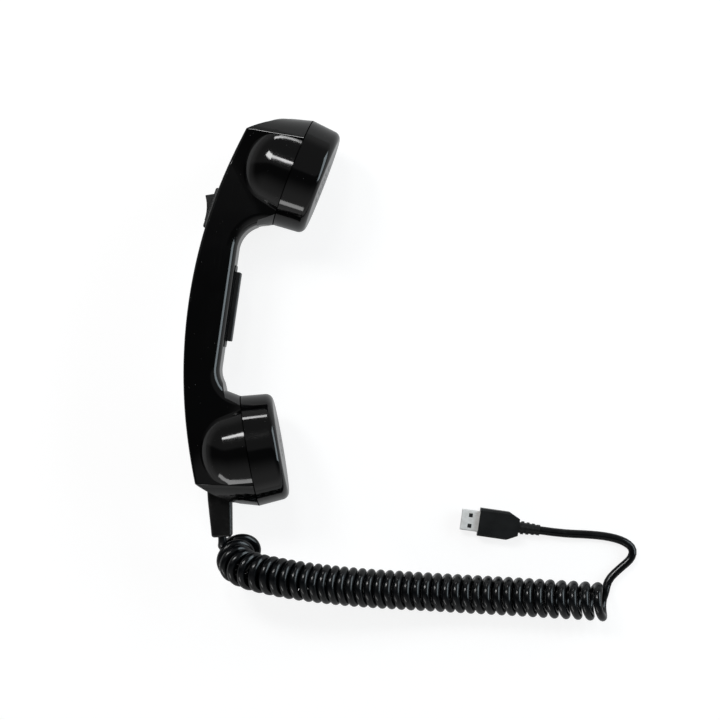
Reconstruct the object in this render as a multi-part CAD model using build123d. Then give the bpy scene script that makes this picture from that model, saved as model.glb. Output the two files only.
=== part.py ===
from build123d import *
import os
from math import atan, cos, degrees, pi, radians, sin, sqrt, tan

# A corded telephone handset with a push-to-talk bar, a rocker switch and a curly lead to a
# flat four-contact plug. It lies on its side: the long axis runs along Y with the earpiece
# towards +Y, the two round caps face +X and touch the floor at Z = 0. Millimetres.

# Caps and the seams they close, with each head's place and turn in plan
cap_radius = 32.0
cap_depth = 18.0
cap_draft = 5.0
cap_edge = 4.3
cap_wall = 2.6
ear_x, ear_y, ear_turn = 5.8, 82.0, -13.2
mouth_x, mouth_y, mouth_turn = 4.0, -79.6, 18.0

# Outline of the handle in side view
back_x = -42.0
grip_x = -19.2
bend_y = 34.2
corner_depth = 33.0
corner_height = 12.5
roof_bow = 2.9
outline_proud = 0.8

# Section of the handle: parallel sides that open out towards the heads
grip_half_width = 17.2
flare_start = 19.2
flare_slope = 14.1
flare_turn = 49.0
flare_blend = 80.0
inner_round = 6.0
back_round = 1.5
crease_round = 0.8
roof_taper = 0.28
lip_taper = 0.6
lip_depth = 8.0
roof_depth = 45.0
trim_margin = 10.0

# Round pod that bulges from each side of a head
pod_step = 1.5
pod_shoulder_depth = 13.0
pod_shoulder_drop = 2.5
pod_depth = 28.0
pod_end_radius = 16.5

# Hollows of the handle moulding
wall = 3.0
cup_radius = 26.0
cup_thread_depth = 8.0
cup_well_radius = 22.0
cup_floor_depth = 12.0
wire_slot_width = 12.0
wire_slot_height = 24.0
wire_slot_offset = 13.0
wire_slot_depth = 28.0

# Clearances
fit = 0.1
running = 0.3

# Sound holes and what sits behind the caps
hole_diameter = 2.4
ear_hole_radii = (5.5, 11.0)
mouth_hole_radii = (5.5,)
holes_per_step = 6
felt_thickness = 0.6
gasket_thickness = 1.4
spigot_length = 5.0
spigot_wall = 2.4
capsule_radius = 23.0
capsule_depth = 16.0
capsule_wall = 1.0
magnet_radius = 9.0
magnet_height = 6.0
diaphragm_thickness = 0.4
mic_radius = 4.9
mic_height = 5.0
board_thickness = 1.6
chip_x, chip_size, chip_height = 5.5, 7.0, 1.0
crystal_x, crystal_length, crystal_width, crystal_height = 13.2, 11.0, 3.5, 3.4
can_y, can_radius, can_height = 8.0, 2.5, 5.5
socket_x, socket_length, socket_width, socket_height = -11.5, 10.0, 5.0, 4.5

# Push-to-talk bar, its frame and what it presses
bar_y = 0.95
bar_length = 39.9
bar_width = 11.0
bar_proud = 3.8
bar_travel = 2.0
bar_round = 0.8
flange_margin = 1.4
flange_thickness = 1.4
frame_margin = 2.3
frame_lip = 1.0
frame_proud = 0.6
talk_board_length = 36.0
talk_board_width = 12.0
post_radius = 2.4
post_height = 3.4
post_spacing = 29.0
screw_radius = 0.85
switch_length = 12.4
switch_width = 6.0
switch_height = 4.5
spring_spacing = 18.6
spring_radius = 1.9
spring_wire = 0.3
spring_turns = 6

# Rocker switch on the back of the handle
rocker_y = 55.0
bezel_length = 24.0
bezel_width = 15.0
bezel_proud = 2.0
bezel_round = 1.2
bezel_seat = 0.3
switch_body_length = 20.0
switch_body_width = 12.4
switch_body_depth = 9.0
rocker_half_length = 7.2
rocker_half_base = 8.2
rocker_half_width = 5.0
rocker_tip_height = 4.7
rocker_waist_height = 3.6
rocker_base_height = -0.3
pivot_height = 0.5
pivot_radius = 1.2
pivot_fit = 0.05
pivot_length = 1.0
rocker_tilt = 17.0
pocket_floor = -4.0

# Strain relief and cord
boot_x, boot_y, boot_turn = -9.1, -109.7, 11.5
boot_width = 13.8
boot_height = 11.0
boot_tip_width = 11.8
boot_tip_height = 9.4
boot_length = 21.5
boot_root = 8.0
boot_tip_round = 2.0
cord_radius = 2.45
coil_radius = 11.5

# Plug at the far end, lying flat with its mouth towards -X
plug_x, plug_y = 137.6, -104.4
plug_shell_width = 12.0
plug_shell_height = 4.5
plug_shell_wall = 0.3
plug_shell_length = 10.4
plug_body_width = 16.5
plug_body_height = 8.0
plug_body_length = 17.0
plug_taper_length = 6.6
plug_neck_width = 9.9
relief_radius = 3.9
relief_length = 12.6
relief_ribs = 4
plug_front = Vector(plug_x, plug_y, plug_body_height / 2)

middle = cap_radius
reach = 200.0
up = Vector(0, 0, 1)


def head_plane(x, y, turn, end):
    """Plane on a head's seam: Z runs along the cap's axis, X towards that end of the handset."""
    axis = Vector(cos(radians(turn)), sin(radians(turn)), 0)
    outward = Vector(-axis.Y, axis.X, 0) * end
    return Plane(origin=(x, y, middle), x_dir=outward, z_dir=axis)


ear = head_plane(ear_x, ear_y, ear_turn, 1)
mouth = head_plane(mouth_x, mouth_y, mouth_turn, -1)
heads = (ear, mouth)


def at_head(plane, depth, height, across=0.0):
    """Point in the handset's frame, given by its depth behind a seam and its height from the axis."""
    return plane.from_local_coords((height, across, -depth))


def turned(*edges):
    """Solid of revolution about Z from edges drawn as radius and height."""
    return revolve(Plane.XZ * make_face(edges), Axis.Z)


def ring(outer, inner, bottom, top):
    """Plain ring or disc between two heights, inner 0 for a disc."""
    height = top - bottom
    body = Pos(0, 0, (bottom + top) / 2) * Cylinder(outer, height)
    if inner:
        body -= Pos(0, 0, (bottom + top) / 2) * Cylinder(inner, height + 2)
    return body


def block(x_range, y_range, z_range):
    """Box between two values on each axis."""
    size = [high - low for low, high in (x_range, y_range, z_range)]
    centre = [(high + low) / 2 for low, high in (x_range, y_range, z_range)]
    return Pos(*centre) * Box(*size)


# Handle shell

apex = Vector(back_x, 0, middle)
corner = at_head(ear, corner_depth, corner_height)
back_radius = ((corner.X - back_x) ** 2 + corner.Y ** 2) / (2 * (corner.X - back_x))


def side_outline(plane, end):
    """Half of the handle's side view: back bow, roof, seam, inner bend and grip line."""
    seam_out = at_head(plane, 0, cap_radius + outline_proud)
    seam_in = at_head(plane, 0, -cap_radius - outline_proud)
    roof_end = at_head(plane, corner_depth, corner_height)
    chord = Vector(corner_depth, cap_radius - corner_height)
    mid_depth = chord.X / 2 + roof_bow * chord.Y / chord.length
    mid_height = (cap_radius + corner_height) / 2 + roof_bow * chord.X / chord.length
    waist = Vector(grip_x, 0, middle)
    bend = Vector(grip_x, end * bend_y, middle)
    return make_face([
        TangentArc(apex, roof_end, tangent=(0, end, 0)),
        ThreePointArc(roof_end, at_head(plane, mid_depth, mid_height), seam_out),
        Line(seam_out, seam_in),
        TangentArc(bend, seam_in, tangent=(0, end, 0)),
        Line(bend, waist),
        Line(waist, apex)])


def width_limit(plane):
    """Solid as wide as the handle: parallel sides at the grip that open out towards a head."""
    lean = radians(flare_turn)
    along = plane.z_dir * cos(lean) + plane.x_dir * sin(lean)
    across = Plane(origin=plane.origin, x_dir=along, z_dir=along.cross(up))
    far = cap_radius * 2
    far_width = grip_half_width + (far + flare_start) * tan(radians(flare_slope))
    corners = ((-reach, grip_half_width), (-flare_start, grip_half_width), (far, far_width))
    upper = FilletPolyline(*corners, radius=flare_blend)
    lower = mirror(upper, Plane.XZ)
    ends = [Line(upper @ 0, lower @ 0), Line(upper @ 1, lower @ 1)]
    return extrude(across * make_face([*upper.edges(), *lower.edges(), *ends]), amount=reach, both=True)


def half_handle(plane, end):
    """Half of the handle before its edges are rounded."""
    return extrude(side_outline(plane, end), amount=2 * cap_radius, both=True) & width_limit(plane)


def cone_cut(side, depth, taper):
    """Local tool that trims a head outside a cone on the cap's axis, on one side of that axis."""
    over = 1.0
    height = depth + over
    half_size = cap_radius + trim_margin
    stock = Pos(side * half_size / 2, 0, over - height / 2) * Box(half_size, 2 * half_size, height)
    at_back, at_front = cap_radius - taper * depth, cap_radius + taper * over
    seam_away = Rot(0, 0, 180 if side > 0 else 0)
    return stock - Pos(0, 0, over - height / 2) * seam_away * Cone(at_back, at_front, height)


def pod():
    """Round pod in a head's own frame: a shallow cone with a rounded back."""
    rim = cap_radius - pod_step
    shoulder = (rim - pod_shoulder_drop, -pod_shoulder_depth)
    tail = (pod_end_radius, -pod_depth)
    slope = Line((rim, 0), shoulder)
    dome = TangentArc(shoulder, tail, tangent=slope % 1)
    return turned(Line((0, 0), (rim, 0)), slope, dome,
                  Line(tail, (0, -pod_depth)), Line((0, -pod_depth), (0, 0)))


def near_grip(edge):
    """True for the long edges where the flat inner line of the grip meets its sides."""
    point = edge @ 0.5
    return abs(point.X - grip_x) < fit and abs(point.Y) < bend_y and abs(point.Z - middle) > wall


def on_back(edge):
    """True for the long edges where the bowed back meets the sides."""
    for step in (0.0, 0.5, 1.0):
        point = edge @ step
        off = sqrt((point.X - back_x - back_radius) ** 2 + point.Y ** 2) - back_radius
        if abs(off) > fit / 2 or abs(point.Z - middle) < wall:
            return False
    return True


def on_crease(edge, plane):
    """True for the edges where the roof's cone meets the flat sides of a head."""
    for step in (0.0, 0.3, 0.7, 1.0):
        point = plane.to_local_coords(edge @ step)
        off = sqrt(point.X ** 2 + point.Y ** 2) - (cap_radius + roof_taper * point.Z)
        if abs(off) > fit / 2 or point.X < 0 or abs(point.Y) < grip_half_width:
            return False
    return True


def core():
    """Hollow of the grip, one wall inside the back and the inner line, as far as the wire slots."""
    face = []
    for plane, end in zip(heads, (1, -1)):
        far_y = at_head(plane, wire_slot_depth, wire_slot_width / 2 - wire_slot_offset).Y
        far_x = back_x + back_radius - sqrt((back_radius - wall) ** 2 - far_y ** 2)
        start = Vector(back_x + wall, 0, middle)
        far = Vector(far_x, far_y, middle)
        inner = Vector(grip_x - wall, far_y, middle)
        face += [TangentArc(start, far, tangent=(0, end, 0)), Line(far, inner)]
    low, high = face[1] @ 1, face[3] @ 1
    return extrude(make_face([*face, Line(low, high)]), amount=grip_half_width - wall, both=True)


def cup():
    """Bore of a head: thread bore, well and the slot that takes the wires to the grip."""
    bore = ring(cup_radius, 0, -cup_thread_depth, 1)
    well = ring(cup_well_radius, 0, -cup_floor_depth, 1)
    slot = block((-wire_slot_offset - wire_slot_width / 2, -wire_slot_offset + wire_slot_width / 2),
                 (-wire_slot_height / 2, wire_slot_height / 2), (-wire_slot_depth, 0))
    return bore + well + slot


boot_axis = Vector(sin(radians(boot_turn)), -cos(radians(boot_turn)), 0)
boot_plane = Plane(origin=(boot_x, boot_y, middle), x_dir=up.cross(boot_axis), z_dir=boot_axis)

back_slope = degrees(atan(rocker_y / sqrt(back_radius ** 2 - rocker_y ** 2)))
rocker_x = back_x + back_radius - sqrt(back_radius ** 2 - rocker_y ** 2)
rocker_plane = Plane(
    origin=(rocker_x, rocker_y, middle),
    x_dir=(sin(radians(back_slope)), cos(radians(back_slope)), 0),
    z_dir=(-cos(radians(back_slope)), sin(radians(back_slope)), 0))

frame_length = bar_length + 2 * (running + frame_margin)
frame_width = bar_width + 2 * (running + frame_margin)
core_back = back_x + wall


def board_posts():
    """Two posts that carry the push-to-talk board, with their screw holes."""
    posts = []
    for side in (-1, 1):
        place = Pos(core_back + post_height / 2, bar_y + side * post_spacing / 2, middle) * Rot(0, 90, 0)
        posts.append(place * (Cylinder(post_radius, post_height + wall) - Cylinder(screw_radius + fit,
                                                                                   post_height + wall)))
    return posts


def handle_shell():
    """One-piece hollow moulding of the handle and both heads."""
    body = half_handle(ear, 1) + half_handle(mouth, -1)
    body = fillet(body.edges().filter_by(near_grip), radius=inner_round)
    body = fillet(body.edges().filter_by(on_back), radius=back_round)
    for plane in heads:
        body -= plane.location * cone_cut(1, roof_depth, roof_taper)
        body -= plane.location * cone_cut(-1, lip_depth, -lip_taper)
    for plane in heads:
        body = fillet(body.edges().filter_by(lambda edge: on_crease(edge, plane)), radius=crease_round)
    for plane in heads:
        body += plane.location * pod()
    body -= core()
    for plane in heads:
        body -= plane.location * cup()
    body -= block((grip_x - wall - 1, grip_x + 1),
                  (bar_y - frame_length / 2 - fit, bar_y + frame_length / 2 + fit),
                  (middle - frame_width / 2 - fit, middle + frame_width / 2 + fit))
    seat_length, seat_width = bezel_length / 2 + fit, bezel_width / 2 + fit
    body_length, body_width = switch_body_length / 2 + fit, switch_body_width / 2 + fit
    body -= rocker_plane.location * block((-seat_length, seat_length), (-seat_width, seat_width),
                                          (-bezel_seat, bezel_proud))
    body -= rocker_plane.location * block((-body_length, body_length), (-body_width, body_width),
                                          (-switch_body_depth, 0))
    pocket = Plane.XY.offset(-boot_root) * RectangleRounded(boot_width + 2 * fit, boot_height + 2 * fit,
                                                            boot_tip_round)
    body -= boot_plane.location * extrude(pocket, amount=boot_root * 2)
    body -= boot_plane.location * ring(cord_radius + fit, 0, tail_end, 0)
    for post in board_posts():
        body += post
    return body


# Caps and what they hold


def cap(hole_radii):
    """Screw cap: a drafted cup with sound holes, and a spigot that enters the bore."""
    front = cap_radius - cap_depth * tan(radians(cap_draft))
    spigot = cup_radius - fit
    body = turned(*Polyline(
        (spigot - spigot_wall, -spigot_length), (spigot, -spigot_length), (spigot, 0), (cap_radius, 0),
        (front, cap_depth), (0, cap_depth), (0, cap_depth - cap_wall),
        (front - cap_wall, cap_depth - cap_wall), (cap_radius - cap_wall, cap_wall),
        (spigot - spigot_wall, cap_wall), close=True).edges())
    rim = body.edges().filter_by(lambda edge: edge.geom_type == GeomType.CIRCLE
                                 and abs((edge @ 0).Z - cap_depth) < fit)
    body = fillet(rim, radius=cap_edge)
    holes = [Pos(0, 0, cap_depth) * Cylinder(hole_diameter / 2, cap_depth / 2)]
    for index, radius in enumerate(hole_radii, start=1):
        for spot in PolarLocations(radius, index * holes_per_step):
            holes.append(spot * holes[0])
    return body - holes


def felt():
    """Dust cloth disc behind a cap's front."""
    top = cap_depth - cap_wall
    return ring(capsule_radius - 1, 0, top - felt_thickness, top)


capsule_top = cap_depth - cap_wall - felt_thickness - gasket_thickness
capsule_bottom = capsule_top - capsule_depth


def ear_gasket():
    """Soft ring between the capsule and the cloth."""
    return ring(capsule_radius - 1, capsule_radius - 4, capsule_top, capsule_top + gasket_thickness)


def ear_capsule_case():
    """Receiver case: a cup, open to the front, with a lead hole in its back."""
    case = ring(capsule_radius, 0, capsule_bottom, capsule_top)
    case -= ring(capsule_radius - capsule_wall, 0, capsule_bottom + capsule_wall, capsule_top + 1)
    case += ring(capsule_radius - capsule_wall / 2, capsule_radius - 3 * capsule_wall,
                 capsule_bottom + magnet_height + 2, capsule_bottom + magnet_height + 3)
    return case


def ear_magnet():
    """Magnet on the back of the receiver case."""
    bottom = capsule_bottom + capsule_wall
    return ring(magnet_radius, 2.0, bottom, bottom + magnet_height)


def ear_diaphragm():
    """Receiver diaphragm with a domed centre, carried by the ledge in the case."""
    edge = capsule_bottom + magnet_height + 3
    rim = capsule_radius - capsule_wall - fit
    upper = [(rim, edge), (magnet_radius + 1, edge), (magnet_radius * 0.6, edge + 1.4), (0, edge + 2)]
    lower = [(radius, height + diaphragm_thickness) for radius, height in reversed(upper)]
    return turned(*Polyline(*upper, *lower, close=True).edges())


def ear_grille():
    """Pierced front plate of the receiver."""
    plate = ring(capsule_radius - capsule_wall - fit, 0, capsule_top - 1, capsule_top)
    holes = [spot * Pos(0, 0, capsule_top) * Cylinder(1.5, 4) for spot in PolarLocations(8, 8)]
    return plate - holes


def ear_spacer():
    """Foam ring that presses the receiver forward from the ledge of the cup."""
    return ring(capsule_radius - 0.5, capsule_radius - 3, -cup_thread_depth, capsule_bottom)


board_top = -cup_thread_depth + board_thickness


def circuit_board():
    """Round sound board on the ledge of the mouthpiece cup."""
    return ring(cup_radius - 2 * fit, 0, -cup_thread_depth, board_top)


def mouth_gasket():
    """Soft ring between the board and the cap's spigot."""
    return ring(cup_radius - 3 * fit, cup_radius - spigot_wall, board_top, -spigot_length)


def on_board(x, width, length, height):
    """Box that stands on the sound board's face at a place along X."""
    return block((x - width / 2, x + width / 2), (-length / 2, length / 2), (board_top, board_top + height))


def sound_chip():
    """Square sound chip on the front of the board."""
    return on_board(chip_x, chip_size, chip_size, chip_height)


def board_parts():
    """Crystal, two electrolytic capacitors and a lead socket on the front of the board."""
    crystal = on_board(crystal_x, crystal_width, crystal_length, crystal_height)
    can = ring(can_radius, 0, board_top, board_top + can_height)
    cans = [Pos(0, side * can_y, 0) * can for side in (-1, 1)]
    socket = on_board(socket_x, socket_width, socket_length, socket_height)
    return Compound(children=[crystal, *cans, socket])


def mic_holder():
    """Rubber disc that carries the microphone close behind the cap."""
    top = cap_depth - cap_wall - felt_thickness
    return ring(capsule_radius - fit, mic_radius + fit, top - mic_height - 1, top)


def mic_capsule():
    """Small electret microphone in the holder."""
    top = cap_depth - cap_wall - felt_thickness
    return ring(mic_radius, 0, top - mic_height, top)


def mouth_spacer():
    """Plastic tube between the board and the microphone holder."""
    top = cap_depth - cap_wall - felt_thickness - mic_height - 1
    return ring(capsule_radius - fit, capsule_radius - 2.5, board_top, top)


# Push-to-talk bar

bar_root = grip_x - wall - frame_lip


def ptt_frame():
    """Frame round the bar: a thin lip outside and a neck through the wall."""
    half_length, half_width = frame_length / 2, frame_width / 2
    lip = block((grip_x, grip_x + frame_proud),
                (bar_y - half_length - frame_lip, bar_y + half_length + frame_lip),
                (middle - half_width - frame_lip, middle + half_width + frame_lip))
    lip = fillet(lip.edges().filter_by(Axis.X), radius=2.0)
    neck = block((bar_root, grip_x), (bar_y - half_length, bar_y + half_length),
                 (middle - half_width, middle + half_width))
    mouth_hole = block((bar_root - 1, grip_x + 2),
                       (bar_y - bar_length / 2 - running, bar_y + bar_length / 2 + running),
                       (middle - bar_width / 2 - running, middle + bar_width / 2 + running))
    return lip + neck - mouth_hole


flange_top = bar_root - running


def ptt_bar():
    """Push bar with a retaining flange behind its frame."""
    top = block((flange_top - flange_thickness, grip_x + bar_proud),
                (bar_y - bar_length / 2, bar_y + bar_length / 2),
                (middle - bar_width / 2, middle + bar_width / 2))
    rounded = top.edges().filter_by(lambda edge: (edge @ 0.5).X > grip_x + bar_proud / 2)
    top = fillet(rounded, radius=bar_round)
    flange = block((flange_top - flange_thickness, flange_top),
                   (bar_y - bar_length / 2 - flange_margin, bar_y + bar_length / 2 + flange_margin),
                   (middle - bar_width / 2 - flange_margin, middle + bar_width / 2 + flange_margin))
    return top + flange


board_face = core_back + post_height + wall / 2 + board_thickness


def post_places(height):
    """Places on the two posts, at a height on the board's face, turned to look along +X."""
    return [Pos(height, bar_y + side * post_spacing / 2, middle) * Rot(0, 90, 0) for side in (-1, 1)]


def ptt_board():
    """Narrow board on the two posts, under the bar."""
    board = block((board_face - board_thickness, board_face),
                  (bar_y - talk_board_length / 2, bar_y + talk_board_length / 2),
                  (middle - talk_board_width / 2, middle + talk_board_width / 2))
    hole = Cylinder(screw_radius + 2 * fit, 4 * board_thickness)
    return board - [place * hole for place in post_places(board_face)]


def ptt_board_screws():
    """Two screws that hold the board to its posts."""
    head_height, depth = 1.1, board_thickness + post_height
    screws = []
    for place in post_places(board_face):
        head = place * ring(post_radius - 0.4, 0, 0, head_height)
        slot = place * block((-0.25, 0.25), (-reach, reach), (head_height / 2, reach))
        screws.append(head - slot + place * ring(screw_radius, 0, -depth, head_height / 4))
    return Compound(children=screws)


def ptt_switch():
    """Push switch on the board, with its plunger just under the pressed bar."""
    body = block((board_face, board_face + switch_height),
                 (bar_y - switch_length / 2, bar_y + switch_length / 2),
                 (middle - switch_width / 2, middle + switch_width / 2))
    plunger_top = flange_top - flange_thickness - bar_travel - running
    plunger = block((board_face + switch_height - fit, plunger_top),
                    (bar_y - 2.0, bar_y + 2.0), (middle - 1.2, middle + 1.2))
    return body + plunger


def ptt_springs():
    """Two small compression springs that push the bar back out."""
    length = flange_top - flange_thickness - board_face - 2 * spring_wire
    springs = []
    for side in (-1, 1):
        path = Helix(pitch=length / spring_turns, height=length, radius=spring_radius)
        wire = sweep(Plane(path @ 0, z_dir=path % 0) * Circle(spring_wire), path=path)
        place = Pos(board_face + spring_wire, bar_y + side * spring_spacing / 2, middle) * Rot(0, 90, 0)
        springs.append(place * wire)
    return Compound(children=springs)


# Rocker switch, drawn with X along the handle, Z out of its back


def rocker_bezel():
    """Snap-in switch body with a rounded bezel, a pocket for the rocker and its pivot holes."""
    rim = block((-bezel_length / 2, bezel_length / 2), (-bezel_width / 2, bezel_width / 2),
                (-bezel_seat, bezel_proud))
    outer = rim.edges().filter_by(Axis.Z) + rim.faces().sort_by(Axis.Z)[-1].edges()
    rim = fillet(outer, radius=bezel_round)
    body = block((-switch_body_length / 2, switch_body_length / 2),
                 (-switch_body_width / 2, switch_body_width / 2), (-switch_body_depth, 0))
    half_opening = rocker_half_base + 1.5 * running
    pocket = block((-half_opening, half_opening),
                   (-rocker_half_width - running, rocker_half_width + running), (pocket_floor, reach))
    pivot = Pos(0, 0, pivot_height) * Rot(90, 0, 0) * Cylinder(pivot_radius + pivot_fit, switch_body_width)
    return rim + body - pocket - pivot


def rocker():
    """Rocker with a hollowed top, slanted ends and moulded pivots, tipped to its rest side."""
    tip, base = rocker_half_length, rocker_half_base
    profile = make_face([
        ThreePointArc((-tip, rocker_tip_height), (0, rocker_waist_height), (tip, rocker_tip_height)),
        Line((tip, rocker_tip_height), (base, rocker_base_height)),
        ThreePointArc((base, rocker_base_height), (0, rocker_base_height - 1), (-base, rocker_base_height)),
        Line((-base, rocker_base_height), (-tip, rocker_tip_height))])
    body = extrude(Plane.XZ * profile, amount=rocker_half_width, both=True)
    body = fillet(body.edges().filter_by(Axis.Y).filter_by(lambda edge: (edge @ 0.5).Z > 1), radius=0.5)
    pivots = Pos(0, 0, pivot_height) * Rot(90, 0, 0) * Cylinder(
        pivot_radius, 2 * (rocker_half_width + pivot_length))
    neutral = body + pivots
    centre = Pos(0, 0, pivot_height)
    return centre * Rot(0, -rocker_tilt, 0) * centre.inverse() * neutral


def rocker_terminals():
    """Two blades that leave the switch body for the wires."""
    blade = block((-0.4, 0.4), (-2.4, 2.4), (-switch_body_depth - 3.5, -switch_body_depth))
    return Compound(children=[Pos(side * 5, 0, 0) * blade for side in (-1, 1)])


# Strain relief, the cord inside the shell and the wires


def cord_boot():
    """Tapered strain relief with a rounded tip, seated in the pocket at the mouthpiece end."""
    root = extrude(Plane.XY.offset(-boot_root) * RectangleRounded(boot_width, boot_height, boot_tip_round),
                   amount=boot_root)
    sleeve = loft([RectangleRounded(boot_width, boot_height, boot_tip_round),
                   Plane.XY.offset(boot_length) * RectangleRounded(boot_tip_width, boot_tip_height,
                                                                   boot_tip_round)])
    body = root + sleeve
    body = fillet(body.faces().sort_by(Axis.Z)[-1].edges(), radius=boot_tip_round * 0.8)
    return body - ring(cord_radius + fit / 2, 0, -2 * boot_root, 2 * boot_length)


root_height = mouth.to_local_coords(boot_plane.origin).X
tail_end = -(root_height + wire_slot_offset) / boot_axis.dot(mouth.x_dir)


def cord_tail():
    """Straight end of the cord inside the boot and the shell."""
    return ring(cord_radius - fit / 2, 0, tail_end, boot_length)


def cord_stop():
    """Crimped ring that keeps the cord from being pulled out of the shell."""
    return ring(cord_radius + 1.5, cord_radius, tail_end, tail_end + 4.0)


wire_radius = 0.6


def talk_wires():
    """Two wires along the hollow grip, from the sound board to the receiver."""
    wires = []
    lane = (core_back + grip_x) / 2 + 3.5
    for across in (9.0, 10.8):
        start = at_head(mouth, cup_thread_depth + fit, -wire_slot_offset, 0) + up * across
        end = at_head(ear, -capsule_bottom + fit, -wire_slot_offset, 0) + up * across
        turn = wire_slot_depth * 2.6
        bends = Vector(lane, -turn, start.Z), Vector(lane, turn, start.Z)
        path = FilletPolyline(start, *bends, end, radius=6)
        wires.append(sweep(Plane(path @ 0, z_dir=path % 0) * Circle(wire_radius), path=path))
    return Compound(children=wires)


def cord_wires():
    """Four cores from the end of the cord forward to the back of the sound board."""
    cores = []
    tail = boot_plane.from_local_coords((0, 0, tail_end))
    depth = -mouth.to_local_coords(tail).Z
    height = mouth.to_local_coords(tail).X - 1.0
    for step in range(4):
        across = (step - 1.5) * 1.5
        start = at_head(mouth, cup_thread_depth, height, across)
        length = depth - cup_thread_depth
        core_plane = Plane(origin=start, z_dir=-mouth.z_dir)
        cores.append(core_plane.location * ring(wire_radius * 0.8, 0, 0, length))
    return Compound(children=cores)


# The cord outside: a short neck, the coil as one fat tube and the plain lead to the plug

coil_route = (
    (14.6, -137.0, 15.5), (13.1, -139.3, 23.4), (14.6, -143.0, 29.3), (18.8, -146.2, 33.4),
    (25.0, -148.5, 35.0), (32.8, -149.9, 34.6), (42.2, -150.7, 33.0), (53.6, -151.1, 30.7),
    (66.6, -151.1, 27.7), (81.2, -150.9, 24.0), (97.0, -150.2, 19.9), (114.2, -149.2, 15.9),
    (132.8, -147.9, 12.8), (153.0, -146.3, 11.6), (175.0, -144.3, 11.6), (196.5, -142.6, 11.6),
    (212.4, -141.0, 11.6), (226.5, -139.8, 11.6))
lead_route = (
    (223.0, -135.5, 5.4), (228.3, -127.5, 2.6), (234.6, -119.6, 2.6), (240.3, -113.4, 2.6),
    (240.6, -107.2, 2.6), (234.4, -103.6, 2.6), (224.6, -102.3, 2.6), (212.0, -102.9, 2.6),
    (197.5, -104.4, 4.0))
neck_run = 6.0
neck_end = (6.2, -142.6, 22.5)


def tube(name, points, radius):
    """Round tube on straight runs joined by arcs as large as the runs allow; prints its radii."""
    points = [Vector(*point) for point in points]
    radii = []
    for before, here, after in zip(points, points[1:], points[2:]):
        run_in, run_out = here - before, after - here
        half_turn = radians(run_in.get_angle(run_out)) / 2
        radii.append(0.45 * min(run_in.length, run_out.length) / tan(half_turn))
    path = FilletPolyline(*points, radius=radii)
    solid = sweep(Plane(path @ 0, z_dir=path % 0) * Circle(radius), path=path)
    section = pi * radius ** 2
    print(name, "radii", [round(value, 1) for value in radii], "length", round(path.length, 1),
          "volume over section times length", round(solid.volume / (section * path.length), 4))
    return solid


# Plug, drawn with X running back from its mouth and Z up


def plug_shell():
    """Folded metal shell with two latch windows above and two below."""
    outer = block((0, plug_shell_length), (-plug_shell_width / 2, plug_shell_width / 2),
                  (-plug_shell_height / 2, plug_shell_height / 2))
    outer = fillet(outer.edges().filter_by(Axis.X), radius=0.5)
    inner_width = plug_shell_width / 2 - plug_shell_wall
    inner_height = plug_shell_height / 2 - plug_shell_wall
    shell = outer - block((-1, reach), (-inner_width, inner_width), (-inner_height, inner_height))
    window = 2.3
    for side in (-1, 1):
        shell -= Pos(5.2, side * 3.1, 0) * Box(window, window, 2 * plug_shell_height)
    return shell


def plug_tongue():
    """Plastic tongue in the upper half of the shell."""
    inner_width = plug_shell_width / 2 - plug_shell_wall - fit / 2
    inner_height = plug_shell_height / 2 - plug_shell_wall - fit / 2
    tongue = block((0.8, plug_shell_length), (-inner_width, inner_width), (inner_height - 1.9, inner_height))
    rear = block((plug_shell_length - 1.5, plug_shell_length), (-inner_width, inner_width),
                 (-inner_height, inner_height))
    return tongue + rear


def plug_contacts():
    """Four contact strips on the lower face of the tongue."""
    face = plug_shell_height / 2 - plug_shell_wall - fit / 2 - 1.9
    strip = block((1.8, plug_shell_length - 1.6), (-0.5, 0.5), (face - 0.2, face))
    return Compound(children=[Pos(0, across, 0) * strip for across in (-3.5, -1.0, 1.0, 3.5)])


def plug_overmould():
    """Moulded grip of the plug with its tapered rear and ribbed strain relief."""
    front, rear = plug_shell_length, plug_shell_length + plug_body_length
    end = rear + plug_taper_length
    wide, narrow = plug_body_width / 2, plug_neck_width / 2
    outline = make_face(Polyline((front, -wide), (rear, -wide), (end, -narrow), (end, narrow),
                                 (rear, wide), (front, wide), close=True).edges())
    body = extrude(outline, amount=plug_body_height / 2, both=True)
    body = fillet(body.edges().filter_by(Axis.X), radius=1.5)
    step = relief_length / relief_ribs
    for index in range(relief_ribs):
        start = end + index * step
        slim, full = relief_radius * (0.84 - 0.03 * index), relief_radius - 0.25 * index
        body += Pos(start + step / 2, 0, 0) * Rot(0, 90, 0) * Cylinder(slim, step)
        body += Pos(start + step * 0.7, 0, 0) * Rot(0, 90, 0) * Cylinder(full, step * 0.5)
    return body


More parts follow.
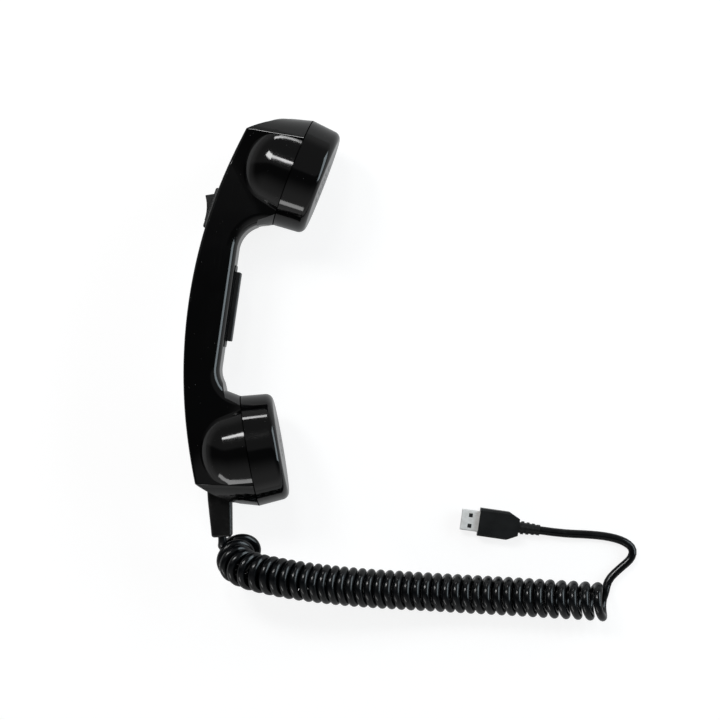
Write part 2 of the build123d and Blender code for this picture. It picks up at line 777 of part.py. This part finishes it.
def build():
    """All pieces by node name, in the final frame: origin under the middle of the handset's box."""
    handset = {
        "handle_shell": handle_shell(),
        "ear_cap": ear.location * cap(ear_hole_radii),
        "ear_felt": ear.location * felt(),
        "ear_gasket": ear.location * ear_gasket(),
        "ear_grille": ear.location * ear_grille(),
        "ear_capsule_case": ear.location * ear_capsule_case(),
        "ear_diaphragm": ear.location * ear_diaphragm(),
        "ear_magnet": ear.location * ear_magnet(),
        "ear_spacer": ear.location * ear_spacer(),
        "mouth_cap": mouth.location * cap(mouth_hole_radii),
        "mouth_felt": mouth.location * felt(),
        "mic_holder": mouth.location * mic_holder(),
        "mic_capsule": mouth.location * mic_capsule(),
        "mouth_spacer": mouth.location * mouth_spacer(),
        "mouth_gasket": mouth.location * mouth_gasket(),
        "circuit_board": mouth.location * circuit_board(),
        "sound_chip": mouth.location * sound_chip(),
        "board_parts": mouth.location * board_parts(),
        "ptt_frame": ptt_frame(),
        "ptt_bar": ptt_bar(),
        "ptt_springs": ptt_springs(),
        "ptt_switch": ptt_switch(),
        "ptt_board": ptt_board(),
        "ptt_board_screws": ptt_board_screws(),
        "rocker_bezel": rocker_plane.location * rocker_bezel(),
        "rocker": rocker_plane.location * rocker(),
        "rocker_terminals": rocker_plane.location * rocker_terminals(),
        "talk_wires": talk_wires(),
        "cord_wires": cord_wires(),
        "cord_tail": boot_plane.location * cord_tail(),
        "cord_stop": boot_plane.location * cord_stop(),
        "cord_boot": boot_plane.location * cord_boot(),
    }
    own = [shape.bounding_box() for name, shape in handset.items() if name not in ("cord_boot", "cord_tail")]
    moved = Vector(-(min(box.min.X for box in own) + max(box.max.X for box in own)) / 2,
                   -(min(box.min.Y for box in own) + max(box.max.Y for box in own)) / 2)
    placed = {name: Pos(*moved) * shape for name, shape in handset.items()}
    print("shift", moved)
    print("ear seam", ear.origin + moved, ear.z_dir, "mouth seam", mouth.origin + moved, mouth.z_dir)
    print("rocker pivot", rocker_plane.from_local_coords((0, 0, pivot_height)) + moved)
    print("bar face", Vector(grip_x + bar_proud, bar_y, middle) + moved)
    tip = boot_plane.from_local_coords((0, 0, boot_length)) + moved
    print("boot tip", tip, boot_axis)
    placed["cord_neck"] = tube("cord_neck", (tip, tip + boot_axis * neck_run, neck_end), cord_radius)
    placed["cord_coil"] = tube("cord_coil", coil_route, coil_radius)
    plug_end = plug_front + Vector(
        plug_shell_length + plug_body_length + plug_taper_length + relief_length, 0, 0)
    placed["cord_lead"] = tube("cord_lead", (*lead_route, plug_end), cord_radius)
    plug = {"plug_shell": plug_shell(), "plug_tongue": plug_tongue(), "plug_contacts": plug_contacts(),
            "plug_overmould": plug_overmould()}
    for name, shape in plug.items():
        placed[name] = Pos(*plug_front) * shape
    return placed


os.makedirs("parts", exist_ok=True)
for node, shape in build().items():
    export_step(shape, f"parts/{node}.step")
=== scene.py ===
"""A corded telephone handset lying on its side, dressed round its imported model.

In the model's own frame +Y runs towards the earpiece, +X is the way the caps face and +Z is up. Pieces
and finishes are in millimetres, and MM turns them into metres. The floor and the lamps are in metres.
"""

from math import cos, pi, radians, sin

import bpy
import numpy as np
from mathutils import Matrix, Vector


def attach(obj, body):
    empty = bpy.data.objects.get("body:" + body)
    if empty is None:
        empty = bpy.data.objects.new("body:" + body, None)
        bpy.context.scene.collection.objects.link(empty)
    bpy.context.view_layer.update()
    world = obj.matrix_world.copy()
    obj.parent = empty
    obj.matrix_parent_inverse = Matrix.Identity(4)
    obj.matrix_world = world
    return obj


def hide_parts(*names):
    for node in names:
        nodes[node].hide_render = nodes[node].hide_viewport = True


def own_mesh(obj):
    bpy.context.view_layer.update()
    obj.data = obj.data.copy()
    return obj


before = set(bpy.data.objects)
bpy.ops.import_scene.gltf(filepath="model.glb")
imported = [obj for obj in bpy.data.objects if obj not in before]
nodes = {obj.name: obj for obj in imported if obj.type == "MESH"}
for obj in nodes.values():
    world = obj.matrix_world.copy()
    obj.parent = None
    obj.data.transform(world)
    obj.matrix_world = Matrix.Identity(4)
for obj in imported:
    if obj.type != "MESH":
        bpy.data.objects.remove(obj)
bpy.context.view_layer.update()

MM = 0.001


# Camera: straight down on the handset, turned a little about its own line of sight

VIEW_PIXELS = 720
SCALE_MM_PER_PIXEL = 0.575
HANDSET_MIDDLE = 32.0
CAMERA_RANGE = 1200.0
CAMERA_AIM = (65.3, -20.3)
CAMERA_ROLL = radians(8.2)
CAMERA_CLIP_METRES = (0.05, 10.0)
SENSOR = 36.0


def make_camera():
    """Camera over the handset. Its picture has the given scale at the handset's middle plane."""
    data = bpy.data.cameras.new("camera")
    data.sensor_width = SENSOR
    data.lens = SENSOR * CAMERA_RANGE / (VIEW_PIXELS * SCALE_MM_PER_PIXEL)
    data.clip_start, data.clip_end = CAMERA_CLIP_METRES
    camera = bpy.data.objects.new("camera", data)
    bpy.context.scene.collection.objects.link(camera)
    place = Vector((*CAMERA_AIM, HANDSET_MIDDLE + CAMERA_RANGE)) * MM
    camera.matrix_world = Matrix.Translation(place) @ Matrix.Rotation(CAMERA_ROLL, 4, "Z")
    bpy.context.scene.camera = camera


# Shader maths: sockets that take part in Python expressions


class Signal:
    """Output socket of a node; an arithmetic operator on it adds a Math node."""

    def __init__(self, tree, socket):
        self.tree = tree
        self.socket = socket

    def math(self, operation, first, second):
        return self.tree.make("ShaderNodeMath", {"operation": operation}, {0: first, 1: second})

    def __add__(self, other):
        return self.math("ADD", self, other)

    def __sub__(self, other):
        return self.math("SUBTRACT", self, other)

    def __rsub__(self, other):
        return self.math("SUBTRACT", other, self)

    def __mul__(self, other):
        return self.math("MULTIPLY", self, other)

    __radd__, __rmul__ = __add__, __mul__

    def ramp(self, low, high):
        """0 at low and 1 at high, eased between them."""
        return self.tree.make("ShaderNodeMapRange", {"interpolation_type": "SMOOTHSTEP"},
                              {0: self, 1: low, 2: high})

    def wave(self):
        """Sine of the value."""
        return self.tree.make("ShaderNodeMath", {"operation": "SINE"}, {0: self})

    def size(self):
        """Value without its sign."""
        return self.tree.make("ShaderNodeMath", {"operation": "ABSOLUTE"}, {0: self})


class Tree:
    """Node tree of a material or a world."""

    def __init__(self, owner):
        owner.use_nodes = True
        self.nodes, self.links = owner.node_tree.nodes, owner.node_tree.links
        self.nodes.clear()

    def make(self, kind, settings=None, sockets=None, output=0):
        """Node of a kind: its settings first, then its sockets' values or links; gives one output."""
        node = self.nodes.new(kind)
        for key, value in (settings or {}).items():
            setattr(node, key, value)
        for key, value in (sockets or {}).items():
            if isinstance(value, Signal):
                self.links.new(value.socket, node.inputs[key])
            else:
                node.inputs[key].default_value = value
        return Signal(self, node.outputs[output]) if node.outputs else None

    def rays(self, kind):
        """1 for light rays of a kind, 0 for the others."""
        return self.make("ShaderNodeLightPath", output=f"Is {kind} Ray")


class Finish(Tree):
    """Material of one finish, with the piece's own coordinates in millimetres."""

    def __init__(self, name):
        self.material = bpy.data.materials.new(name)
        super().__init__(self.material)
        metres = self.make("ShaderNodeTexCoord", output="Object")
        self.place = self.vector("MULTIPLY", metres, (1 / MM, 1 / MM, 1 / MM))
        self.y, self.z = (self.make("ShaderNodeSeparateXYZ", {}, {0: self.place}, axis) for axis in "YZ")

    def vector(self, operation, first, second, output=0):
        return self.make("ShaderNodeVectorMath", {"operation": operation}, {0: first, 1: second}, output)

    def noise(self, size, detail=2, stretch=(1, 1, 1), rough=0.5):
        """Cloudy values from 0 to 1, about size across, drawn out along the axes by stretch."""
        moved = self.vector("DIVIDE", self.place, tuple(size * factor for factor in stretch))
        return self.make("ShaderNodeTexNoise", {},
                         {"Vector": moved, "Scale": 1.0, "Detail": detail, "Roughness": rough})

    def cells(self, size, feature="F1"):
        """Distance pattern of cells about size across."""
        return self.make("ShaderNodeTexVoronoi", {"feature": feature},
                         {"Vector": self.place, "Scale": 1.0 / size})

    def blend(self, factor, first, second):
        """Colour between two colours."""
        return self.make("ShaderNodeMix", {"data_type": "RGBA"}, {0: factor, 6: first, 7: second}, 2)

    def bump(self, height):
        """Normal of a surface raised by a height."""
        return self.make("ShaderNodeBump", {}, {"Strength": 1.0, "Distance": MM, "Height": height})

    def shade(self, seam_shade=None, **values):
        """Material with a Principled shader that has these values or links, painted black as shade where
        the seam mask is 1.
        """
        sockets = {key.replace("_", " "): value for key, value in values.items()}
        shader = self.make("ShaderNodeBsdfPrincipled", {}, sockets)
        if seam_shade is not None:
            # Painted shade: a black shader mixed in along the seams.
            black = self.make("ShaderNodeBsdfDiffuse", {}, {"Color": grey(0)})
            shader = self.make("ShaderNodeMixShader", {}, {0: seam_shade, 1: shader, 2: black})
        self.make("ShaderNodeOutputMaterial", {}, {"Surface": shader})
        return self.material


def grey(value, tint=(1.0, 1.0, 1.0)):
    """Opaque colour of a grey value and a tint."""
    return (value * tint[0], value * tint[1], value * tint[2], 1.0)


# Painted shade in the seams between the caps and the heads: each seam's turn in plan and its distance
# from the origin

EAR_SEAM = (radians(-13.2), -6.65)
MOUTH_SEAM = (radians(18.0), -15.28)
SEAM_SHADE_EDGES = (0.21, 0.39)
HEADS_START, HEADS_FADE = 35.0, 5.0


def painted_seam_shade(coat, turn, level):
    """1 in a thin slice round a seam plane, where the seam is painted black as shade."""
    axis = (cos(turn), sin(turn), 0.0)
    beside = (coat.vector("DOT_PRODUCT", coat.place, axis, "Value") - level).size()
    return 1 - beside.ramp(*SEAM_SHADE_EDGES)


def cap_seam_shade(coat):
    """1 behind either cap, where the seam is painted black as shade."""
    ear_side = coat.y.ramp(HEADS_START, HEADS_START + HEADS_FADE)
    mouth_side = 1 - coat.y.ramp(-HEADS_START - HEADS_FADE, -HEADS_START)
    return painted_seam_shade(coat, *EAR_SEAM) * ear_side + painted_seam_shade(coat, *MOUTH_SEAM) * mouth_side


# Finishes, each named as the record's material slot. Bump heights are in millimetres

PLASTIC_IOR = 1.5
FIBRE_IOR = 1.4
DUST = grey(0.16)


def gloss_moulding(name, colour, gloss=0.07):
    """Polished moulding: slow sink waves, rubbed patches, hairline wipe marks, sparse dust and painted
    black shade in the seams behind the caps.
    """
    coat = Finish(name)
    rubbed = coat.noise(26, detail=3).ramp(0.42, 0.7)
    wiped_along = coat.noise(0.35, stretch=(1, 40, 1)).ramp(0.6, 0.78)
    wiped_up = coat.noise(0.4, stretch=(1, 1, 34)).ramp(0.64, 0.8)
    speck = 1 - coat.cells(2.6).ramp(0.035, 0.075)
    dust = speck * coat.noise(9, detail=1).ramp(0.5, 0.62)
    roughness = gloss + 0.05 * rubbed + 0.07 * (wiped_along + wiped_up) + 0.3 * dust
    sink = coat.noise(17, detail=1)
    grain = coat.noise(0.9)
    # The seams behind the caps are painted black here, as shade in the seam.
    return coat.shade(cap_seam_shade(coat), Base_Color=coat.blend(dust * 0.55, colour, DUST),
                      Roughness=roughness, Normal=coat.bump(0.05 * sink + 0.0011 * grain + 0.006 * dust),
                      IOR=PLASTIC_IOR)


def satin_moulding(name, colour, rough, grain=0.3, depth=0.012, dust=0.3):
    """Spark-eroded moulding: an even fine grain, slightly polished where it is touched, and dust."""
    coat = Finish(name)
    texture = coat.noise(grain, detail=3, rough=0.6)
    touched = coat.noise(14).ramp(0.4, 0.66)
    speck = (1 - coat.cells(1.9).ramp(0.04, 0.1)) * coat.noise(7, detail=1).ramp(0.5, 0.65)
    worn = coat.blend(texture.ramp(0.3, 0.8) * 0.25, colour, grey(colour[1] * 1.9))
    return coat.shade(Base_Color=coat.blend(speck * dust, worn, grey(0.2)),
                      Roughness=rough - 0.09 * touched + 0.1 * texture,
                      Normal=coat.bump(depth * texture + 0.01 * speck), IOR=PLASTIC_IOR)


def boot_rubber():
    """Soft moulded rubber: matt skin, the mould's parting line round the middle and a little bloom."""
    coat = Finish("boot_rubber")
    skin = coat.noise(0.22, detail=3, rough=0.65)
    parting = 1 - (coat.z - HANDSET_MIDDLE).size().ramp(0.06, 0.22)
    bloom = coat.noise(5, detail=3).ramp(0.45, 0.75)
    swell = coat.noise(3.5, detail=1)
    base = coat.blend(bloom * 0.5, grey(0.003, (1.05, 1.0, 0.97)), grey(0.01, (1.03, 1.0, 0.97)))
    return coat.shade(Base_Color=base, Roughness=0.27 + 0.1 * bloom + 0.06 * skin,
                      Normal=coat.bump(0.016 * skin + 0.05 * parting + 0.05 * swell), IOR=PLASTIC_IOR)


def cord_jacket():
    """Extruded gloss jacket: fine grain, handling rub, slow unevenness of its section and dust."""
    coat = Finish("cord_jacket")
    rub = coat.noise(4, detail=3).ramp(0.42, 0.68)
    uneven = coat.noise(6, detail=1)
    grain = coat.noise(0.7)
    dust = (1 - coat.cells(1.7).ramp(0.05, 0.11)) * uneven.ramp(0.5, 0.62)
    base = coat.blend(rub * 0.6, grey(0.0025, (0.8, 1.0, 1.25)), grey(0.006, (0.85, 1.0, 1.15)))
    return coat.shade(Base_Color=coat.blend(dust * 0.5, base, DUST), Specular_IOR_Level=0.4,
                      Roughness=0.16 + 0.1 * rub + 0.2 * dust,
                      Normal=coat.bump(0.12 * uneven + 0.004 * grain + 0.008 * dust), IOR=PLASTIC_IOR)


def plated_metal(name, colour, rough, stretch, metallic=1.0):
    """Plated sheet or wire: drawing lines along one axis and cloudy plating."""
    coat = Finish(name)
    drawn = coat.noise(0.12, stretch=stretch)
    cloud = coat.noise(2.5, detail=3).ramp(0.35, 0.7)
    base = coat.blend(cloud * 0.35, colour, grey(colour[1] * 0.62, (1.0, 0.98, 0.93)))
    return coat.shade(Base_Color=base, Metallic=metallic, Roughness=rough + 0.14 * drawn + 0.08 * cloud,
                      Normal=coat.bump(0.004 * drawn))


def woven_cloth():
    """Plain weave of fine black threads: the product of two crossed waves lifts each thread."""
    coat = Finish("cloth")
    thread = 2 * pi / 0.55
    lift = (coat.y * thread).wave() * (coat.z * thread).wave()
    lint = coat.noise(0.8, detail=3).ramp(0.55, 0.75)
    # Painted shade: the low points between the threads are darker than the raised threads.
    base = coat.blend(lift.ramp(-0.8, 0.9), grey(0.006), grey(0.035))
    return coat.shade(Base_Color=coat.blend(lint * 0.3, base, grey(0.09)), Roughness=0.85,
                      Normal=coat.bump(0.09 * lift + 0.03 * lint), IOR=FIBRE_IOR)


def soft_foam():
    """Open foam: raised pale walls between pores painted dark as shade."""
    coat = Finish("foam")
    pore = coat.cells(0.5, "DISTANCE_TO_EDGE").ramp(0.02, 0.16)
    # Painted shade: the sunken pores are darker than the walls between them.
    return coat.shade(Base_Color=coat.blend(pore, grey(0.15), grey(0.05)), Roughness=0.9,
                      Normal=coat.bump(-0.12 * pore), IOR=FIBRE_IOR)


def thin_film():
    """Varnished diaphragm film with slight ripples and amber unevenness."""
    coat = Finish("film")
    ripple = coat.noise(3)
    base = coat.blend(ripple, (0.55, 0.47, 0.3, 1), (0.72, 0.66, 0.5, 1))
    return coat.shade(Base_Color=base, Roughness=0.25 + 0.15 * ripple, Normal=coat.bump(0.05 * ripple),
                      IOR=PLASTIC_IOR)


def circuit_mask():
    """Green solder mask over copper tracks, with the glass weave faintly showing."""
    coat = Finish("board")
    track = 1 - coat.cells(3.2, "DISTANCE_TO_EDGE").ramp(0.05, 0.08)
    weave = (coat.y * 9).wave() * (coat.z * 9).wave()
    base = coat.blend(track, (0.012, 0.1, 0.035, 1), (0.03, 0.2, 0.06, 1))
    return coat.shade(Base_Color=base, Roughness=0.28 + 0.04 * weave,
                      Normal=coat.bump(0.035 * track + 0.004 * weave), IOR=PLASTIC_IOR)


def coloured_wire():
    """Red wire jacket with extrusion bands and grime."""
    coat = Finish("wire_jacket")
    grime = coat.noise(4, detail=3).ramp(0.4, 0.75)
    band = coat.noise(0.5, detail=1, stretch=(1, 30, 1))
    base = coat.blend(grime * 0.5, (0.42, 0.02, 0.016, 1), (0.18, 0.012, 0.01, 1))
    return coat.shade(Base_Color=base, Roughness=0.35 + 0.2 * band, Normal=coat.bump(0.02 * band),
                      IOR=PLASTIC_IOR)


def slot_of(material):
    """Record slot that a material is named after."""
    return material.name.split(".")[0]


BLACK_GLOSS = grey(0.0012, (0.95, 1.0, 1.1))
FINISHES = {slot_of(material): material for material in (
    gloss_moulding("case_plastic", BLACK_GLOSS),
    gloss_moulding("cap_plastic", BLACK_GLOSS, gloss=0.06),
    satin_moulding("switch_plastic", grey(0.003), 0.33),
    satin_moulding("bezel_plastic", grey(0.004), 0.3, grain=0.35, depth=0.008),
    satin_moulding("bar_plastic", grey(0.003, (0.8, 1.0, 1.1)), 0.33),
    boot_rubber(),
    cord_jacket(),
    satin_moulding("plug_plastic", grey(0.009, (0.9, 1.0, 1.05)), 0.3, grain=0.4, depth=0.02),
    plated_metal("plug_metal", grey(0.92, (1.0, 1.0, 0.98)), 0.45, stretch=(30, 1, 1), metallic=0.3),
    plated_metal("contact_metal", (0.83, 0.6, 0.24, 1), 0.2, stretch=(20, 1, 1)),
    satin_moulding("tongue_plastic", grey(0.012), 0.4, grain=0.4, depth=0.01, dust=0.0),
    woven_cloth(),
    soft_foam(),
    plated_metal("capsule_metal", grey(0.6), 0.3, stretch=(1, 20, 1)),
    plated_metal("magnet", grey(0.3), 0.38, stretch=(1, 12, 12)),
    thin_film(),
    circuit_mask(),
    satin_moulding("chip", grey(0.012), 0.55, grain=0.2, depth=0.02, dust=0.2),
    plated_metal("screw_steel", grey(0.58, (1.0, 1.0, 1.04)), 0.26, stretch=(1, 1, 12)),
    plated_metal("spring_steel", grey(0.5), 0.22, stretch=(1, 1, 1)),
    coloured_wire(),
)}


def dress_nodes():
    """Gives every CAD node the finish of its material slot."""
    for node in nodes.values():
        slot = slot_of(node.data.materials[0])
        node.data.materials.clear()
        node.data.materials.append(FINISHES[slot])


# Springs behind the push-to-talk bar


def make_springs():
    """Copy of the bar's springs on the handset's body, in place of the imported springs."""
    cad = nodes["ptt_springs"]
    mesh = cad.data.copy()
    mesh.transform(cad.matrix_world)
    springs = bpy.data.objects.new("push_springs", mesh)
    bpy.context.scene.collection.objects.link(springs)
    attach(springs, "handset")
    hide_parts("ptt_springs")
    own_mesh(springs)


# Cord: a short neck, a leaning right-handed coil and a plain lead to the plug

CORD_DIAMETER = 4.9
COIL_OUTER_RADIUS = 11.5
NECK_ROUTE = ((1.43, -132.14, 32.0), (2.2, -135.9, 32.0), (1.6, -139.0, 28.4))
COIL_ROUTE = (
    (14.6, -137.0, 15.5), (13.1, -139.3, 23.4), (14.6, -143.0, 29.3), (18.8, -146.2, 33.4),
    (25.0, -148.5, 35.0), (32.8, -149.9, 34.6), (42.2, -150.7, 33.0), (53.6, -151.1, 30.7),
    (66.6, -151.1, 27.7), (81.2, -150.9, 24.0), (97.0, -150.2, 19.9), (114.2, -149.2, 15.9),
    (132.8, -147.9, 12.8), (153.0, -146.3, 11.6), (175.0, -144.3, 11.6), (196.5, -142.6, 11.6),
    (212.4, -141.0, 11.6), (226.5, -139.8, 11.6))
LEAD_ROUTE = (
    (228.3, -127.5, 2.6), (234.6, -119.6, 2.6), (240.3, -113.4, 2.6), (240.6, -107.2, 2.6),
    (234.4, -103.6, 2.6), (224.6, -102.3, 2.6), (212.0, -102.9, 2.6), (197.5, -104.4, 4.0),
    (184.2, -104.4, 4.0))
POINTS_PER_TURN = 16
FIRST_ANGLE, LAST_ANGLE = radians(125), radians(300)

# How the coil lies: distances along its route, then the values there
SPACING_AT = ((0, 25, 45, 60, 80, 110, 150, 200, 218, 233),
              (5.5, 5.2, 5.1, 5.2, 5.5, 5.75, 6.0, 6.2, 6.6, 7.0))
TILT_AT = ((0, 8, 16, 24, 32, 40, 50, 60, 75, 100),
           (66, 62, 54, 45, 36, 27, 17, 10, 6, 4))
BOW_AT = ((0, 32, 50, 70, 100, 233),
          (0, 0, 1.5, 2.5, 2.5, 2.2))
SLUMP_X_AT = ((0, 3, 5, 7, 10, 16, 26, 38, 60, 200, 233),
              (1.4, 0.4, -0.4, -1.6, -3.0, -4.4, -4.2, -2.2, 0, 0, 2.6))
SLUMP_Y_AT = ((0, 3, 5, 7, 10, 16, 26, 38),
              (2.4, 0.6, -0.4, -1.2, -1.9, -2.1, -0.8, 0))

# How finely the curves are worked out, and how far ahead and behind the route's heading is taken
CORD_PIECES = 3
CORD_ROUNDNESS = 5
ROUTE_PIECES = 40
SPACING_SAMPLES = 4000
LOOK_AHEAD = 20.0


def curve_object(name, points, pieces, radius=0.0):
    """Smooth open curve with the points as control points of a quadratic NURBS spline."""
    data = bpy.data.curves.new(name, "CURVE")
    data.dimensions = "3D"
    data.resolution_u = pieces
    spline = data.splines.new("NURBS")
    spline.points.add(len(points) - 1)
    flat = np.column_stack([np.asarray(points, float) * MM, np.ones(len(points))])
    spline.points.foreach_set("co", flat.ravel())
    spline.order_u = 3
    spline.use_endpoint_u = True
    data.bevel_depth = radius * MM
    data.bevel_resolution = CORD_ROUNDNESS
    piece = bpy.data.objects.new(name, data)
    bpy.context.scene.collection.objects.link(piece)
    return piece


def line_of(points):
    """Points along the NURBS line of a route, with their distances from its start."""
    guide = curve_object("guide", points, ROUTE_PIECES)
    mesh = bpy.data.meshes.new_from_object(guide)
    line = np.empty(len(mesh.vertices) * 3)
    mesh.vertices.foreach_get("co", line)
    line = line.reshape(-1, 3) / MM
    bpy.data.meshes.remove(mesh)
    bpy.data.objects.remove(guide)
    steps = np.linalg.norm(np.diff(line, axis=0), axis=1)
    return line, np.concatenate([[0.0], np.cumsum(steps)])


def along(line, distances, wanted):
    """Points of a line at the wanted distances."""
    return np.column_stack([np.interp(wanted, distances, line[:, axis]) for axis in range(3)])


def turns_along(length):
    """Distances of the coil's points along its route, with each point's angle round it.

    The turns up to a distance are the sum of 1 / spacing over it, by trapezia. They are stretched a
    little, so that the coil ends at its last angle.
    """
    fine = np.linspace(CORD_DIAMETER / 2, length, SPACING_SAMPLES)
    rate = 1 / np.interp(fine, *SPACING_AT)
    turns = np.concatenate([[0.0], np.cumsum((rate[1:] + rate[:-1]) / 2 * np.diff(fine))])
    part_turn = (LAST_ANGLE - FIRST_ANGLE) / (2 * pi)
    whole = round(turns[-1] - part_turn) + part_turn
    turns *= whole / turns[-1]
    step = np.linspace(0, whole, int(whole * POINTS_PER_TURN) + 1)
    return np.interp(step, turns, fine), FIRST_ANGLE + 2 * pi * step


def helix_points():
    """Right-handed helix round the coil's route, whose turns lean and bow back towards its start.

    Each turn lies near a plane whose normal points along the coil's level heading and up by the tilt at
    that distance s. With the level side direction u and v = normal x u, a point is
    centre(s) + slump(s) + r (cos a u + sin a v) - bow(s) sin^2 a heading.
    The slump lays the first and the last turns a few millimetres beside the route. The radius r is
    larger than the wire's own, because a spline runs inside its control points.
    """
    line, distances = line_of(COIL_ROUTE)
    s, a = turns_along(distances[-1])
    angle = a[:, None]
    heading = along(line, distances, s + LOOK_AHEAD) - along(line, distances, s - LOOK_AHEAD)
    heading[:, 2] = 0
    heading /= np.linalg.norm(heading, axis=1)[:, None]
    upward = np.array([0.0, 0.0, 1.0])
    tilt = np.radians(np.interp(s, *TILT_AT))[:, None]
    normal = np.cos(tilt) * heading + np.sin(tilt) * upward
    side = np.cross(upward, heading)
    rise = np.cross(normal, side)
    spokes = np.cos(angle) * side + np.sin(angle) * rise
    radius = (COIL_OUTER_RADIUS - CORD_DIAMETER / 2) / cos(pi / POINTS_PER_TURN) ** 0.5
    slump = np.column_stack([np.interp(s, *SLUMP_X_AT), np.interp(s, *SLUMP_Y_AT), np.zeros(len(s))])
    bow = np.interp(s, *BOW_AT)[:, None] * np.sin(angle) ** 2
    return along(line, distances, s) + slump + radius * spokes - bow * heading


def make_cord():
    """The whole cord on one open spline: neck, coil and the lead to the plug."""
    points = np.vstack([NECK_ROUTE, helix_points(), LEAD_ROUTE])
    cord = curve_object("cord", points, CORD_PIECES, CORD_DIAMETER / 2)
    cord.data.materials.append(FINISHES["cord_jacket"])
    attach(cord, "handset")
    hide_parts("cord_neck", "cord_coil", "cord_lead")
    return cord


# Floor and world. A ramp's pair of edges gives where it starts and where it is full

WHITE = (1.0, 1.0, 1.0, 1.0)
FLOOR_HALF = 4.0
FLOOR_GLOW = 0.84
FLOOR_FADE = (0.5, 1.2)
FLOOR_IN_GLOSS = 0.3
FLOOR_COLOUR = 0.25
CEILING = 0.03
HORIZON, HORIZON_EDGES = 0.2, (0.02, 0.4)
NEAR_WALL, NEAR_WALL_EDGES = 0.3, (-0.85, -0.2)
FAR_WALL, FAR_WALL_EDGES = 0.13, (0.02, 0.12)


def make_floor():
    """Pale floor that glows to the camera, white far off, less so in gloss, and keeps the shadow."""
    mesh = bpy.data.meshes.new("floor")
    half = FLOOR_HALF
    corners = [(-half, -half, 0), (half, -half, 0), (half, half, 0), (-half, half, 0)]
    mesh.from_pydata(corners, [], [(0, 1, 2, 3)])
    floor = bpy.data.objects.new("floor", mesh)
    bpy.context.scene.collection.objects.link(floor)
    material = bpy.data.materials.new("floor")
    tree = Tree(material)
    place = tree.make("ShaderNodeTexCoord", output="Object")
    distance = tree.make("ShaderNodeVectorMath", {"operation": "LENGTH"}, {0: place}, "Value")
    glow = FLOOR_GLOW + (1 - FLOOR_GLOW) * distance.ramp(*FLOOR_FADE)
    in_view = tree.rays("Camera") + tree.rays("Transmission")
    strength = glow * in_view + FLOOR_IN_GLOSS * tree.rays("Glossy")
    light = tree.make("ShaderNodeEmission", {}, {"Color": WHITE, "Strength": strength})
    matt = tree.make("ShaderNodeBsdfDiffuse", {}, {"Color": grey(FLOOR_COLOUR)})
    both = tree.make("ShaderNodeAddShader", {}, {0: light, 1: matt})
    tree.make("ShaderNodeOutputMaterial", {}, {"Surface": both})
    mesh.materials.append(material)


def make_world():
    """Dim studio: dark overhead, paler towards -Y, +Y and the horizon, and white behind the object."""
    world = bpy.data.worlds.new("world")
    bpy.context.scene.world = world
    tree = Tree(world)
    direction = tree.make("ShaderNodeTexCoord", output="Generated")
    y, z = (tree.make("ShaderNodeSeparateXYZ", {}, {0: direction}, axis) for axis in "YZ")
    horizon = HORIZON * (1 - z.ramp(*HORIZON_EDGES))
    near_wall = NEAR_WALL * (1 - y.ramp(*NEAR_WALL_EDGES))
    far_wall = FAR_WALL * y.ramp(*FAR_WALL_EDGES)
    studio = CEILING + horizon + near_wall + far_wall
    strength = studio + tree.rays("Camera") + tree.rays("Transmission")
    sky = tree.make("ShaderNodeBackground", {}, {"Color": WHITE, "Strength": strength})
    tree.make("ShaderNodeOutputWorld", {}, {"Surface": sky})


# Lamps: direction from the aim point, distance and size in metres, watts, colour

LAMP_AIM = Vector((0.06, -0.02, 0.03))
DAYLIGHT = (0.8, 0.93, 1.0)
NEUTRAL = (1.0, 1.0, 1.0)
LAMPS = {
    "pane_left": ((-0.52, 0.43, 0.78), 1.3, (0.25, 0.42), 5.4, NEUTRAL),
    "pane_right": ((-0.2, 0.44, 0.82), 1.3, (0.18, 0.26), 2.2, NEUTRAL),
    "window": ((0.87, 0.35, 0.42), 1.3, (1.35, 0.6), 11.0, DAYLIGHT),
    "strip": ((-0.28, 0.92, 0.30), 1.4, (0.3, 0.12), 1.3, NEUTRAL),
    "low_strip": ((-0.3, -0.9, 0.34), 1.5, (0.9, 0.25), 3.2, NEUTRAL),
}


def make_lamp(name, direction, distance, size, watts, colour):
    """Rectangular area lamp that faces the aim point from a direction."""
    data = bpy.data.lights.new(name, "AREA")
    data.shape = "RECTANGLE"
    data.size, data.size_y = size
    data.energy, data.color = watts, colour
    lamp = bpy.data.objects.new(name, data)
    bpy.context.scene.collection.objects.link(lamp)
    way = Vector(direction).normalized()
    turn = way.to_track_quat("Z", "Y").to_matrix().to_4x4()
    lamp.matrix_world = Matrix.Translation(LAMP_AIM + way * distance) @ turn


make_camera()
dress_nodes()
make_springs()
cord = make_cord()
make_floor()
make_world()
for lamp_name, lamp_values in LAMPS.items():
    make_lamp(lamp_name, *lamp_values)
bpy.context.scene.view_settings.view_transform = "Standard"
